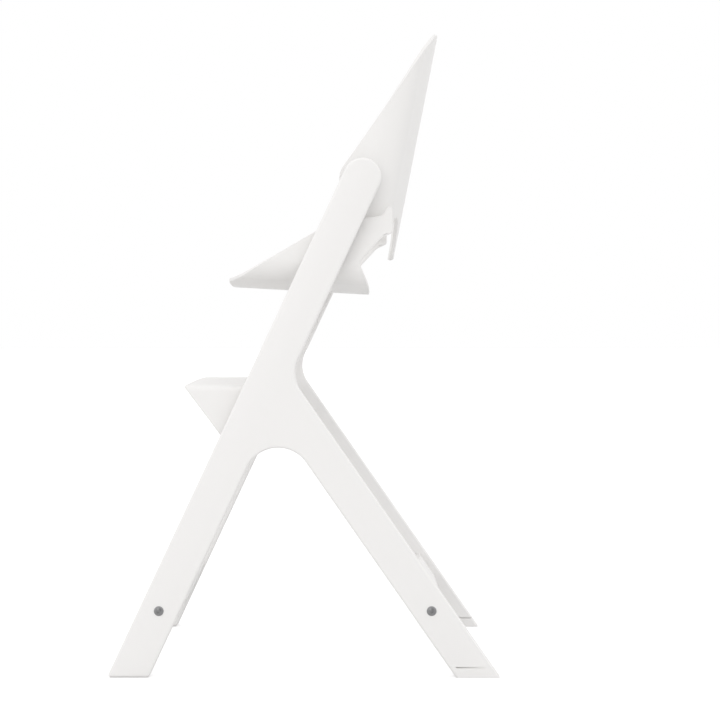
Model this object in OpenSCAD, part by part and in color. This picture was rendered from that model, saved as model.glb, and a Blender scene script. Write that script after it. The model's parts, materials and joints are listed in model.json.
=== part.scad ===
// High chair with two leaning side frames that carry a seat, a footrest and a back.
// The seat and the footrest slide along the front legs, and the back turns on two pivots.
// Millimetres. The origin is on the floor at the middle of the base: the chair faces -Y,
// X runs across it, and the sitter's left side is at +X.

/* [Frame] */
// Width over the outer faces of the two side frames
frame_width = 480; // [440:5:540]
// Thickness of the side frame boards
board = 30; // [26:1:36]
// Length of the base on the floor, from front foot to rear foot
base_length = 588; // [540:2:640]
// Width of the front leg, square to its length
front_leg_w = 57; // [54:1:64]
// Width of the rear leg, square to its length
rear_leg_w = 54.5; // [48:0.5:62]
// Lean of the front leg from the vertical
front_lean = 25.1; // [23.5:0.1:26.5]
// Lean of the rear leg from the vertical
rear_lean = 34.9; // [32:0.1:38]
// Radius of the blend behind the front leg, where the rear leg joins it
crotch_r = 50; // [30:1:70]
// Radius of the arch between the two legs
arch_r = 51; // [30:1:60]

/* [Feet] */
// Thickness of the glides under the front feet
glide_h = 3; // [2:0.5:5]
// How far the front glides stand back from the edge of the leg
glide_inset = 2.5; // [1.5:0.5:5]
// Height of the blocks that end the rear legs
rear_block_h = 16.5; // [14:0.5:22]
// Rounding of the feet's upright edges
foot_edge = 4; // [2:0.5:6]
// Height of the relief slit in the top of a rear block
slit_h = 2; // [1:0.25:3]
// Length of the relief slit on the outer face
slit_length = 42; // [30:1:46]
// Wood left in front of the relief slit
slit_land = 11.5; // [8:0.5:16]

/* [Crossbars] */
// Height of the crossbars' bolts above the floor
bar_bolt_z = 100; // [90:1:130]
// Height of both crossbars, measured along the leg
bar_height = 50; // [44:1:60]
// Depth of the front crossbar
front_bar_depth = 50; // [40:1:52]
// Depth of the rear crossbar
rear_bar_depth = 32; // [28:1:44]
// Rounding of the crossbars' edges
bar_edge = 5; // [2:0.5:8]

/* [Seat] */
// Height of the seat's underside at the front edge
seat_height = 589; // [560:1:600]
// Distance from the front leg's centre line to the front edge
seat_reach = 131.5; // [115:0.5:150]
// Fall of the seat towards the back
seat_fall = 3.2; // [0:0.1:5]
// Wall of the seat shell
seat_wall = 6; // [4.5:0.5:7]
// Height of the seat's sides in front of the ears, above the underside at the front
seat_side_h = 105; // [98:1:110]
// Slope of the top edge of the seat's sides in front of the leg
seat_rim_slope = 30.2; // [28:0.1:36]
// Slope of the same edge behind the leg
seat_rear_slope = 7; // [0:0.5:10]
// Radius of the hollow sweep from the front edge into the sides
seat_sweep_r = 76; // [66:1:120]
// How far the sweep's lowest place lies in front of the front edge
seat_sweep_lead = 10; // [6:1:14]
// Thickness of the lip that the sweep leaves above the floor's front edge
seat_lip = 2; // [1:0.5:3]
// Radius of the front corners, seen from above
seat_front_r = 60; // [50:1:140]
// Radius between the floor and the sides
seat_corner_r = 38; // [30:1:42]
// Height above the floor's middle at which the sides run straight
seat_side_from = 48; // [44:1:54]
// Distance from the leg's centre line back to the ears' rear edge
ear_reach = 122; // [116:1:134]
// Width of the ears' tops
ear_w = 8.5; // [7:0.5:12]
// Height of the ears above the sides
ear_h = 14; // [8:0.5:20]
// Length of the slope that leads up to an ear
ear_ramp = 7; // [4:0.5:12]
// Height of the ears' lower rear corner above the seat's underside
ear_low = 78.5; // [70:0.5:84]
// Length of the ears' lower edge
ear_ledge = 17; // [12:1:24]
// Fall of that edge towards the front
ear_ledge_fall = 7.5; // [2:0.5:10]
// Radius of the ears' rear corner
ear_r = 5; // [3:0.5:5]
// Distance from the leg's centre line back to the waist below the ears
waist_reach = 72; // [64:1:80]
// Height of the waist above the seat's underside
waist_h = 36; // [30:1:42]
// Rounding of the waist, as the run of its two chamfers
waist_run = 5; // [3:0.5:8]
// Distance from the leg's centre line back to the floor's rear edge
seat_rear_reach = 90; // [84:1:100]

/* [Back] */
// Height of the back's pivot above the seat's underside
pivot_rise = 161; // [150:1:200]
// Lean of the back at rest
back_lean = 11.2; // [8:0.1:13]
// Distance from the pivot back to the outer face of the back
back_offset = 74; // [72:0.5:88]
// Height of the top edge's middle above the pivot
back_top = 247; // [220:1:270]
// Radius of the arch of the top edge, seen from the front
back_top_r = 350; // [300:10:900]
// Lean of the wings' front edge where it leaves the round at the pivot
back_rim_lean = 36.1; // [32:0.1:38]
// Radius of the hollow bow of the wings' front edge
back_rim_r = 3000; // [2000:100:6000]
// Radius of the wings round the pivot
wing_r = 35; // [32:0.5:38]
// Depth of the tongue's end below the pivot
tongue_drop = 115.5; // [108:0.5:122]
// Depth of the tongue, from its front edges to its back
tongue_depth = 9.5; // [9:0.5:24]
// Height of the tongue's front edges
tongue_h = 52; // [30:1:60]
// Half width of the tongue's end
tongue_half = 60; // [40:1:80]
// Radius of the hollow flares between the tongue and the wings
tongue_flare_r = 60; // [56:1:66]
// Drop of the wings' lowest place below the pivot
wing_drop = 80; // [76:1:90]
// How far the wings' lowest place lies behind the pivot
wing_low_back = 12; // [6:1:16]
// Wall of the back shell
back_wall = 6; // [5:0.5:7]
// Radius between the back and the wings
back_corner_r = 48; // [44:1:56]
// Gap between the seat's sides and the back's wings
wing_gap = 3; // [2:0.5:5]

/* [Footrest] */
// Height of the footrest's top at rest
footrest_top = 438; // [420:1:450]
// Distance that the footrest stands out in front of the leg, at its top
footrest_reach = 91; // [70:1:110]
// Lean of the footrest's front edge from the vertical
footrest_front_lean = 36.9; // [34:0.1:40]
// Height of the footrest's sides
footrest_side_h = 93; // [88:1:100]
// Wall of the footrest shell
footrest_wall = 5; // [4:0.5:6]
// Radius between the footrest's top and its sides
footrest_corner_r = 30; // [20:1:34]
// Depth below which the footrest's sides run straight
footrest_side_from = 34; // [33:0.5:38]
// Thickness of the lip above the footrest's top wall
footrest_lip = 2; // [1:0.5:3]
// How far the footrest's rear edge stands back from the leg's rear edge
footrest_rear_inset = 4; // [2:0.5:8]

/* [Slides] */
// Travel of the seat along the leg
seat_travel = 86; // [60:1:90]
// Travel of the footrest along the leg
footrest_travel = 86; // [60:1:90]
// Width of the tracks
track_w = 16; // [15:0.5:22]
// Depth of the tracks
track_d = 9; // [8:0.5:12]
// Wall of the tracks
track_wall = 1.8; // [1.5:0.1:2]
// Width of the slot in the face of the tracks
track_slot = 8.4; // [7.6:0.2:9]
// Length of the carriers along the leg
carrier_length = 50; // [44:1:54]
// Width of the carriers
carrier_w = 30; // [24:1:32]
// Gap that the carriers bridge between a frame and a shell
side_gap = 2.5; // [2:0.1:3.5]

/* [Hub] */
// Radius of the hub discs
hub_r = 26.5; // [25.5:0.5:27]
// Thickness of the hub plates on the frames
hub_plate_t = 5; // [4:0.5:5.5]
// Radius from the pivot to the stop pins
stop_r = 19; // [17:0.5:20]
// Radius of the stop pins
stop_pin_r = 2.5; // [2:0.25:3]
// Recline of the back from rest to its last position
recline = 66; // [30:1:70]
// Radius of the pivot bolts' shoulders
pivot_r = 5; // [4:0.5:5.5]
// Wall of the pivot bushes
bush_wall = 2.5; // [1.5:0.25:3]

/* [Fasteners] */
// Radius of the crossbar bolts
bar_bolt_r = 4; // [3:0.5:5]
// Radius of the crossbar bolts' heads
bar_head_r = 7.3; // [6.5:0.1:9]
// Height of the crossbar bolts' heads
bar_head_h = 3.6; // [3:0.2:5]
// Radius of the barrel nuts
barrel_r = 7; // [6:0.5:8]
// Radius of the dowels
dowel_r = 4; // [3:0.5:5]
// Radius of the carrier bolts
carrier_bolt_r = 3; // [2.5:0.25:3.5]
// Radius of the wood screws
screw_r = 2; // [1.5:0.25:2.25]

/* [Fits] */
// Radial clearance of round pieces in their holes
fit = 0.05; // [0.03:0.01:0.08]
// Gap between pieces that slide or turn past each other
slack = 0.3; // [0.25:0.05:0.4]

/* [Hidden] */
$fn = 64;
over = 1;
// Straight edges run this far inside the arcs that they lead into, so that the two join cleanly
bite = 0.02;
inner_x = frame_width / 2 - board;
outer_x = frame_width / 2;
board_x = (inner_x + outer_x) / 2;
cos_front = cos(front_lean);
tan_front = tan(front_lean);
cos_rear = cos(rear_lean);
tan_rear = tan(rear_lean);

// Where the middle of the front leg lies at a height, and its front and rear edges
front_foot_y = -base_length / 2 + front_leg_w / 2 / cos_front;
function leg_y(z) = front_foot_y + (z - glide_h) * tan_front;
function leg_front_y(z) = leg_y(z) - front_leg_w / 2 / cos_front;
function leg_rear_y(z) = leg_y(z) + front_leg_w / 2 / cos_front;
// The same for the rear leg
rear_foot_y = base_length / 2 - rear_leg_w / 2 / cos_rear;
function rear_leg_y(z) = rear_foot_y - z * tan_rear;
// Unit vectors of the plane of the frame: up the front leg and down the rear leg
up_front = [sin(front_lean), cos_front];
down_rear = [sin(rear_lean), -cos_rear];
pivot_height = seat_height + pivot_rise;
pivot_y = leg_y(pivot_height);
front_bolt_y = leg_y(bar_bolt_z);
rear_bolt_y = rear_leg_y(bar_bolt_z);

// Height at which the front leg's rear edge meets an edge of the rear leg
rear_half = rear_leg_w / 2 / cos_rear;
function meet_z(side) = (rear_foot_y + side * rear_half - leg_rear_y(0)) / (tan_front + tan_rear);
crotch = [leg_rear_y(meet_z(1)), meet_z(1)];
arch = [leg_rear_y(meet_z(-1)), meet_z(-1)];

// Tracks run from below the footrest's lowest place to above the seat's highest
carrier_rim_gap = 14;
seat_carrier_z = seat_height + seat_side_h - carrier_length / 2 - carrier_rim_gap;
footrest_carrier_z = footrest_top - footrest_side_h + carrier_length / 2;
track_margin = 24;
track_low_z = footrest_carrier_z - (footrest_travel + carrier_length / 2 + track_margin) * cos_front;
track_high_z = seat_carrier_z + (carrier_length / 2 + track_margin) * cos_front;
track_length = (track_high_z - track_low_z) / cos_front;
track_middle_z = (track_low_z + track_high_z) / 2;
nut_w = track_w - 2 * track_wall - 2 * slack;
nut_t = track_d - 2 * track_wall - 2 * slack;
// The carriers' bolts stand this much further apart than the centres of the carriers' round ends
carrier_bolt_spread = 4;
carrier_bolt_pitch = carrier_length - carrier_w + carrier_bolt_spread;

// Widths of the shells
seat_half = inner_x - side_gap;
back_half = seat_half - seat_wall - wing_gap;
hub_gap_x = inner_x - hub_plate_t;
bush_r = pivot_r + fit + bush_wall;
washer_rim = 2;
washer_r = bush_r + washer_rim;
pivot_washer_t = 1.5;
pivot_head_t = 5;
pivot_head_share = 1.7;
pivot_head_r = pivot_head_share * pivot_r;
insert_r = 6.5;
insert_length = 18;
pivot_thread_r = 4;

// Seat: points of its side outline, from the leg's centre line at the seat's height
seat_y = leg_y(seat_height);
nose_y = seat_y - seat_reach;
rim_z = seat_height + seat_side_h;
sweep_low_z = seat_height + seat_wall + seat_lip;
sweep_center = [nose_y - seat_sweep_lead, sweep_low_z + seat_sweep_r];
sweep_end = sweep_center + seat_sweep_r * [sin(seat_rim_slope), -cos(seat_rim_slope)];
ear_y = seat_y + ear_reach;
ear_foot_y = ear_y - ear_w - ear_ramp;
rim_bend_y = (rim_z - sweep_end[1] + sweep_end[0] * tan(seat_rim_slope) - ear_foot_y * tan(seat_rear_slope))
  / (tan(seat_rim_slope) - tan(seat_rear_slope));
rim_bend_z = rim_z - (ear_foot_y - rim_bend_y) * tan(seat_rear_slope);
seat_rear_y = seat_y + seat_rear_reach;
waist_y = seat_y + waist_reach;
ear_low_z = seat_height + ear_low;
waist_z = seat_height + waist_h;
seat_low_z = seat_height - seat_wall * 2;

// Back: its outer face passes behind the pivot, and its wings stay flat under the whole of the washers
back_side_from = back_offset - washer_r - slack;
tongue_z = pivot_height - tongue_drop;
back_top_z = pivot_height + back_top;
function back_y(z) = pivot_y + back_offset / cos(back_lean) + (z - pivot_height) * tan(back_lean);
pivot = [pivot_y, pivot_height];
rim_normal = [-cos(back_rim_lean), sin(back_rim_lean)];
rim_tangent = pivot + (wing_r - bite) * rim_normal;
rim_center = rim_tangent + back_rim_r * rim_normal;
tongue_front_y = back_y(tongue_z) - tongue_depth / cos(back_lean);
tongue_neck = [tongue_front_y + tongue_h * tan(back_lean), tongue_z + tongue_h];
low_angle = atan2(-wing_drop, wing_low_back) - acos(wing_r / norm([wing_low_back, wing_drop]));
low_tangent = pivot + (wing_r - bite) * [cos(low_angle), sin(low_angle)];

// Footrest
footrest_front_y = leg_front_y(footrest_top) - footrest_reach;
footrest_low_z = footrest_top - footrest_side_h;
footrest_nose_t = footrest_wall + footrest_lip;

// Both sides of a shape that is drawn on the left, at +X
module both() {
  children();
  mirror([1, 0, 0]) children();
}

// An outline in the plane of the frame, its x along Y and its y along Z, from x0 to x1
module side_slab(x0, x1) {
  translate([x0, 0, 0]) rotate([90, 0, 90]) linear_extrude(x1 - x0) children();
}

// A rod along X from x0 to x1
module rod(x0, x1, y, z, r, $fn = $fn) {
  translate([x0, y, z]) rotate([0, 90, 0]) cylinder(h = x1 - x0, r = r);
}

// Frame of reference on the front leg's centre line, with z up the leg
module on_front_leg(z) {
  translate([0, leg_y(z), z]) rotate([-front_lean, 0, 0]) children();
}

// Frame of reference on the rear leg's centre line, with z up the leg
module on_rear_leg(z) {
  translate([0, rear_leg_y(z), z]) rotate([rear_lean, 0, 0]) children();
}

module rounded_rect(size, r) {
  square([size[0], size[1] - 2 * r], center = true);
  square([size[0] - 2 * r, size[1]], center = true);
  for (x = [-1, 1], y = [-1, 1])
    translate([x * (size[0] / 2 - r), y * (size[1] / 2 - r)]) circle(r);
}

// Countersunk screw with its head's face at z = 0 and its shank downwards
module countersunk(r, length) {
  translate([0, 0, -r]) cylinder(h = r, r1 = r, r2 = 2 * r);
  translate([0, 0, -length]) cylinder(h = length - r + fit, r = r);
}

// Hex socket button head with its seat at z = 0: its dome and its socket are shares of its size
dome_share = 1.35;
socket_share = 0.42;
socket_floor_share = 0.35;

module button_head(r, h) {
  dome_r = dome_share * r;
  difference() {
    intersection() {
      cylinder(h = h, r = r);
      translate([0, 0, h - dome_r]) sphere(dome_r);
    }
    translate([0, 0, socket_floor_share * h]) cylinder(h = h, r = socket_share * r, $fn = 6);
  }
}

// One side frame before it is drilled: a board cut to its outline, whose corners are arcs
function direction(angle) = [cos(angle), sin(angle)];
function arc(center, r, from, to, steps) =
  [for (i = [0:steps]) center + r * direction(from + (to - from) * i / steps)];
function blend_center(corner, dir_a, dir_b, r) =
  corner + (dir_a + dir_b) / norm(dir_a + dir_b) * r / sin(acos(dir_a * dir_b) / 2);

module frame_blank() {
  front_side = 180 - front_lean;
  rear_side = rear_lean;
  crotch_center = blend_center(crotch, up_front, down_rear, crotch_r);
  arch_center = blend_center(arch, -up_front, down_rear, arch_r);
  side_slab(inner_x, outer_x) polygon(concat(
    arc([pivot_y, pivot_height], front_leg_w / 2, front_side, front_side - 180, 36),
    arc(crotch_center, crotch_r, front_side, rear_side + 180, 15),
    [for (side = [1, -1]) [rear_leg_y(rear_block_h) + side * rear_half, rear_block_h]],
    arc(arch_center, arch_r, rear_side, front_side, 30),
    [[leg_rear_y(glide_h), glide_h], [leg_front_y(glide_h), glide_h]]
  ));
}

module side_frame() {
  difference() {
    frame_blank();
    rod(inner_x - over, outer_x + over, front_bolt_y, bar_bolt_z, bar_bolt_r + fit);
    rod(inner_x - over, outer_x + over, rear_bolt_y, bar_bolt_z, bar_bolt_r + fit);
    dowel_places() rod(inner_x - over, inner_x + dowel_run + fit, 0, 0, dowel_r + fit);
    on_front_leg(track_middle_z)
      translate([inner_x - over, -track_w / 2, -track_length / 2])
        cube([track_d + over, track_w, track_length]);
    track_screw_places() rod(inner_x, inner_x + track_screw_length, 0, 0, screw_r + fit);
    rod(inner_x - over, inner_x + insert_length, pivot_y, pivot_height, insert_r + fit);
    hub_screw_places() rod(inner_x - over, inner_x + hub_screw_run, 0, 0, screw_r + fit);
    rear_screw_places() translate([0, 0, -over])
      cylinder(h = rear_screw_length + over, r = screw_r + fit);
    glide_stud_place() translate([0, 0, -over])
      cylinder(h = glide_stud_run + over + fit, r = glide_stud_r + fit);
  }
}

module side_frame_left() { color("whitesmoke") side_frame(); }
module side_frame_right() { color("whitesmoke") mirror([1, 0, 0]) side_frame(); }

// Crossbars, each bolted between the frames and kept from turning by a dowel at each end
dowel_run = 12;
dowel_offset = 16;
bar_bolt_reach = 48;
barrel_setback = 36;
// The barrel nuts reach this far past the bolts' holes, and the bolts end this far short of their own
barrel_land = 2;
bar_bolt_tip = 2;
barrel_half = barrel_r + barrel_land;

module dowel_places() {
  translate([0, front_bolt_y, bar_bolt_z]) rotate([-front_lean, 0, 0])
    translate([0, 0, dowel_offset]) children();
  translate([0, rear_bolt_y, bar_bolt_z]) rotate([rear_lean, 0, 0])
    translate([0, 0, dowel_offset]) children();
}

module bar_places() {
  translate([0, front_bolt_y, bar_bolt_z]) rotate([-front_lean, 0, 0]) children();
  translate([0, rear_bolt_y, bar_bolt_z]) rotate([rear_lean, 0, 0]) children();
}

module crossbar(depth) {
  difference() {
    translate([-inner_x, 0, 0]) rotate([90, 0, 90]) linear_extrude(2 * inner_x)
      rounded_rect([depth, bar_height], bar_edge);
    both() {
      rod(inner_x - bar_bolt_reach, inner_x + over, 0, 0, bar_bolt_r + fit);
      rod(inner_x - dowel_run - fit, inner_x + over, 0, dowel_offset, dowel_r + fit);
      translate([inner_x - barrel_setback, 0, -bar_height / 2 - over])
        cylinder(h = bar_height / 2 + over + barrel_half, r = barrel_r + fit);
    }
  }
}

module front_crossbar() {
  color("whitesmoke")
    translate([0, front_bolt_y, bar_bolt_z]) rotate([-front_lean, 0, 0]) crossbar(front_bar_depth);
}

module rear_crossbar() {
  color("whitesmoke")
    translate([0, rear_bolt_y, bar_bolt_z]) rotate([rear_lean, 0, 0]) crossbar(rear_bar_depth);
}

module crossbar_bolts() {
  color("silver") both() bar_places() {
    rod(inner_x - bar_bolt_reach + bar_bolt_tip, outer_x, 0, 0, bar_bolt_r);
    translate([outer_x, 0, 0]) rotate([0, 90, 0]) button_head(bar_head_r, bar_head_h);
  }
}

module crossbar_nuts() {
  color("silver") both() bar_places() difference() {
    translate([inner_x - barrel_setback, 0, -barrel_half]) cylinder(h = 2 * barrel_half, r = barrel_r);
    rod(inner_x - bar_bolt_reach - over, inner_x, 0, 0, bar_bolt_r + fit);
  }
}

module crossbar_dowels() {
  color("burlywood") both() dowel_places()
    rod(inner_x - dowel_run, inner_x + dowel_run, 0, 0, dowel_r);
}

// Tracks with a T slot, let into the inner faces of the front legs
track_screw_length = 20;
track_screw_inset = 9;
track_screw_head_t = 0.9;
track_screw_head_share = 1.8;
track_screw_head_r = track_screw_head_share * screw_r;

module track_screw_places() {
  for (end = [-1, 0, 1])
    on_front_leg(track_middle_z) translate([0, 0, end * (track_length / 2 - track_screw_inset)])
      children();
}

module track() {
  on_front_leg(track_middle_z) difference() {
    translate([inner_x, -track_w / 2, -track_length / 2]) cube([track_d, track_w, track_length]);
    translate([inner_x + track_wall, -track_w / 2 + track_wall, -track_length / 2 - over])
      cube([track_d - 2 * track_wall, track_w - 2 * track_wall, track_length + 2 * over]);
    translate([inner_x - over, -track_slot / 2, -track_length / 2 - over])
      cube([track_wall + 2 * over, track_slot, track_length + 2 * over]);
  }
}

module drilled_track() {
  difference() {
    track();
    track_screw_places() rod(inner_x, inner_x + track_d + over, 0, 0, screw_r + fit);
  }
}

module track_left() { color("silver") drilled_track(); }
module track_right() { color("silver") mirror([1, 0, 0]) drilled_track(); }

module track_screws() {
  color("gray") both() track_screw_places() {
    rod(inner_x + track_d - track_wall, inner_x + track_screw_length - over, 0, 0, screw_r);
    rod(inner_x + track_d - track_wall - track_screw_head_t, inner_x + track_d - track_wall, 0, 0,
      track_screw_head_r);
  }
}

// Rear feet: a block under each rear leg, with a relief slit along its top
rear_screw_length = 26;
rear_screw_inset = 16;
rear_head_recess = 2;

module rear_screw_places() {
  for (end = [-1, 1])
    translate([board_x,
        rear_leg_y(rear_block_h / 2) + end * (rear_half - rear_screw_inset), 0])
      children();
}

module rear_foot() {
  slit_y = rear_leg_y(rear_block_h) - rear_half + slit_land;
  difference() {
    intersection() {
      on_rear_leg(0) translate([board_x, 0, -rear_leg_w])
        linear_extrude(3 * rear_leg_w) rounded_rect([board, rear_leg_w], foot_edge);
      translate([inner_x - over, 0, 0]) cube([board + 2 * over, base_length, rear_block_h]);
    }
    translate([board_x, slit_y, rear_block_h - slit_h])
      cube([board, slit_length, slit_h + over]);
    translate([inner_x - over, slit_y, rear_block_h - slit_h])
      cube([board / 2 + over, 2 * slit_length, slit_h + over]);
    rear_screw_places() {
      translate([0, 0, -over]) cylinder(h = rear_block_h + 2 * over, r = screw_r + fit);
      translate([0, 0, rear_head_recess]) cylinder(h = screw_r, r1 = 2 * screw_r + fit, r2 = screw_r + fit);
      translate([0, 0, -over]) cylinder(h = rear_head_recess + over, r = 2 * screw_r + fit);
    }
  }
}

module rear_foot_left() { color("gainsboro") rear_foot(); }
module rear_foot_right() { color("gainsboro") mirror([1, 0, 0]) rear_foot(); }

module rear_foot_screws() {
  color("gray") both() rear_screw_places()
    translate([0, 0, rear_head_recess]) mirror([0, 0, 1])
      countersunk(screw_r, rear_screw_length - rear_head_recess - over);
}

// Front glides: a thin plate with a stud pressed up into the leg
glide_stud_r = 4;
glide_stud_run = 14;

module glide_stud_place() {
  translate([board_x, front_foot_y, glide_h]) children();
}

module front_glide() {
  glide_stud_place() {
    translate([0, 0, -glide_h]) linear_extrude(glide_h)
      rounded_rect([board - 2 * glide_inset, front_leg_w / cos_front - 2 * glide_inset], foot_edge);
    cylinder(h = glide_stud_run, r = glide_stud_r);
  }
}

module front_glide_left() { color("gainsboro") front_glide(); }
module front_glide_right() { color("gainsboro") mirror([1, 0, 0]) front_glide(); }

// Hubs: a plate on each frame with an arc slot, and a disc on each wing that carries a stop pin
hub_screw_run = 16;
stop_rest_angle = -57;
hub_screw_angles = [20, 90, 160];
back_screw_angles = [105, 180, 255];

// Places on a circle round the pivot, at angles from +Y towards +Z
module round_pivot(radius, angles) {
  for (angle = angles)
    translate([0, pivot_y + radius * cos(angle), pivot_height + radius * sin(angle)]) children();
}

module hub_screw_places() {
  round_pivot(stop_r, hub_screw_angles) children();
}

module hub_plate() {
  difference() {
    rod(hub_gap_x, inner_x, pivot_y, pivot_height, hub_r);
    rod(hub_gap_x - over, inner_x + over, pivot_y, pivot_height, pivot_r + fit);
    hub_screw_places() {
      rod(hub_gap_x - over, inner_x + over, 0, 0, screw_r + fit);
      translate([hub_gap_x, 0, 0]) rotate([0, 90, 0])
        cylinder(h = screw_r, r1 = 2 * screw_r + fit, r2 = screw_r + fit);
    }
    translate([hub_gap_x - over, pivot_y, pivot_height]) rotate([90, 0, 90])
      rotate([0, 0, stop_rest_angle - recline]) {
        rotate_extrude(angle = recline)
          translate([stop_r - stop_pin_r - slack + bite, 0])
            square([2 * (stop_pin_r + slack - bite), hub_plate_t + 2 * over]);
        for (end = [0, recline])
          rotate([0, 0, end]) translate([stop_r, 0, 0])
            cylinder(h = hub_plate_t + 2 * over, r = stop_pin_r + slack);
      }
  }
}

module hub_plate_left() { color("lightgray") hub_plate(); }
module hub_plate_right() { color("lightgray") mirror([1, 0, 0]) hub_plate(); }

module hub_plate_screws() {
  color("gray") both() hub_screw_places()
    translate([hub_gap_x, 0, 0]) rotate([0, -90, 0])
      countersunk(screw_r, hub_plate_t + hub_screw_run - over);
}

module pivot_inserts() {
  color("goldenrod") both() difference() {
    rod(inner_x, inner_x + insert_length, pivot_y, pivot_height, insert_r);
    rod(inner_x - over, inner_x + insert_length + over, pivot_y, pivot_height, pivot_thread_r + fit);
  }
}

// Shoulder bolts, with the head inside the back's wings
pivot_seat_x = back_half - back_wall - slack;

module pivot_bolts() {
  color("silver") both() {
    rod(pivot_seat_x - pivot_washer_t, inner_x, pivot_y, pivot_height, pivot_r);
    rod(inner_x - over, inner_x + insert_length - over, pivot_y, pivot_height, pivot_thread_r);
    translate([pivot_seat_x - pivot_washer_t, pivot_y, pivot_height]) rotate([0, -90, 0])
      button_head(pivot_head_r, pivot_head_t);
  }
}

module pivot_washers() {
  color("silver") both() difference() {
    rod(pivot_seat_x - pivot_washer_t, pivot_seat_x, pivot_y, pivot_height, washer_r);
    rod(pivot_seat_x - pivot_washer_t - over, pivot_seat_x + over, pivot_y, pivot_height, pivot_r + fit);
  }
}

// Section of a shell: a broad crown that turns through two corners into straight sides.
// The crown's middle is at y = 0 and the sides run towards -y, straight from y = -side_from.
module u_outline(half_w, corner, side_from, depth) {
  cx = half_w - corner;
  crown = (cx * cx + side_from * side_from - corner * corner) / 2 / (side_from - corner);
  away = [cx, crown - side_from] / (crown - corner) * 2 * corner;
  translate([-half_w, -depth]) square([2 * half_w, depth - side_from]);
  for (side = [-1, 1]) translate([side * cx, -side_from]) circle(corner);
  intersection() {
    translate([0, -crown]) circle(crown, $fn = 360);
    polygon([
      [-cx, -depth], [cx, -depth], [cx, -side_from],
      [cx + away[0], away[1] - side_from], [-cx - away[0], away[1] - side_from], [-cx, -side_from]
    ]);
  }
}

module u_wall(half_w, corner, side_from, wall, depth) {
  difference() {
    u_outline(half_w, corner, side_from, depth);
    u_hollow(half_w, corner, side_from, wall, depth + over);
  }
}

module u_hollow(half_w, corner, side_from, wall, depth) {
  translate([0, -wall]) u_outline(half_w - wall, corner - wall, side_from - wall, depth);
}

// Outline of a plate that narrows through two round front corners, its front edge near y = 0
module front_corners(half_w, r, length) {
  translate([-half_w, r]) square([2 * half_w, length]);
  translate([-half_w + r, bite]) square([2 * (half_w - r), length]);
  for (side = [-1, 1]) translate([side * (half_w - r), r]) circle(r);
}

// Seat shell: a swept trough, cut to its side outline and rounded at the front
module seat_slab(x0, x1) {
  difference() {
    union() {
      side_slab(x0, x1) polygon([
        [nose_y, seat_low_z], [nose_y, sweep_center[1]], sweep_end,
        [rim_bend_y, rim_bend_z], [ear_foot_y, rim_z], [ear_y - ear_w, rim_z + ear_h - bite],
        [ear_y - ear_r, rim_z + ear_h - bite], [ear_y - bite, rim_z + ear_h - ear_r],
        [ear_y - bite, ear_low_z], [ear_y - ear_ledge, ear_low_z - ear_ledge_fall],
        [waist_y + waist_run, waist_z + waist_run], [waist_y, waist_z - waist_run],
        [seat_rear_y, seat_low_z]
      ]);
      rod(x0, x1, ear_y - ear_r, rim_z + ear_h - ear_r, ear_r);
    }
    rod(x0 - over, x1 + over, sweep_center[0], sweep_center[1], seat_sweep_r, $fn = 180);
  }
}

module seat_bolt_places() {
  for (end = [-1, 1])
    on_front_leg(seat_carrier_z) translate([0, 0, end * carrier_bolt_pitch / 2]) children();
}

module seat_shell() {
  trough = 2 * (seat_reach + ear_reach);
  color("white") difference() {
    intersection() {
      translate([0, nose_y, seat_height]) rotate([-90 - seat_fall, 0, 0])
        translate([0, 0, -seat_corner_r]) linear_extrude(trough)
          u_wall(seat_half, seat_corner_r, seat_side_from, seat_wall, 2 * seat_side_h);
      seat_slab(-seat_half - over, seat_half + over);
      translate([0, nose_y, 0]) linear_extrude(pivot_height)
        front_corners(seat_half, seat_front_r, trough);
    }
    both() seat_bolt_places()
      rod(seat_half - seat_wall - over, seat_half + over, 0, 0, carrier_bolt_r + fit);
  }
}

// Carriers: low pads that fill the gap to the frame, with a key in the track's slot
key_inset = 2;

module carrier() {
  pad_t = side_gap - slack;
  difference() {
    union() {
      translate([seat_half, 0, 0]) rotate([90, 0, 90]) linear_extrude(pad_t) {
        square([carrier_w, carrier_length - carrier_w], center = true);
        for (end = [-1, 1]) translate([0, end * (carrier_length - carrier_w) / 2]) circle(carrier_w / 2);
      }
      translate([seat_half + pad_t - over, -track_slot / 2 + slack, key_inset - carrier_length / 2])
        cube([over + slack + track_wall + slack, track_slot - 2 * slack, carrier_length - 2 * key_inset]);
    }
    for (end = [-1, 1])
      rod(seat_half - over, inner_x + track_d, 0, end * carrier_bolt_pitch / 2, carrier_bolt_r + fit);
  }
}

module slide_nut() {
  difference() {
    translate([inner_x + track_wall + slack, -nut_w / 2, -carrier_length / 2])
      cube([nut_t, nut_w, carrier_length]);
    for (end = [-1, 1])
      rod(inner_x, inner_x + track_d, 0, end * carrier_bolt_pitch / 2, carrier_bolt_r + fit);
  }
}

// Button head bolts from inside a shell, through its carrier into the nut in the track
carrier_head_share = 1.9;
carrier_head_r = carrier_head_share * carrier_bolt_r;
carrier_head_h = 3.3;

module carrier_bolts(wall) {
  for (end = [-1, 1]) translate([0, 0, end * carrier_bolt_pitch / 2]) {
    rod(seat_half - wall, inner_x + track_wall + slack + nut_t, 0, 0, carrier_bolt_r);
    translate([seat_half - wall, 0, 0]) rotate([0, -90, 0]) button_head(carrier_head_r, carrier_head_h);
  }
}

module seat_carrier_left() { color("dimgray") on_front_leg(seat_carrier_z) carrier(); }
module seat_carrier_right() {
  color("dimgray") mirror([1, 0, 0]) on_front_leg(seat_carrier_z) carrier();
}
module seat_slide_nuts() { color("gray") both() on_front_leg(seat_carrier_z) slide_nut(); }
module seat_bolts() { color("silver") both() on_front_leg(seat_carrier_z) carrier_bolts(seat_wall); }

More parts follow.
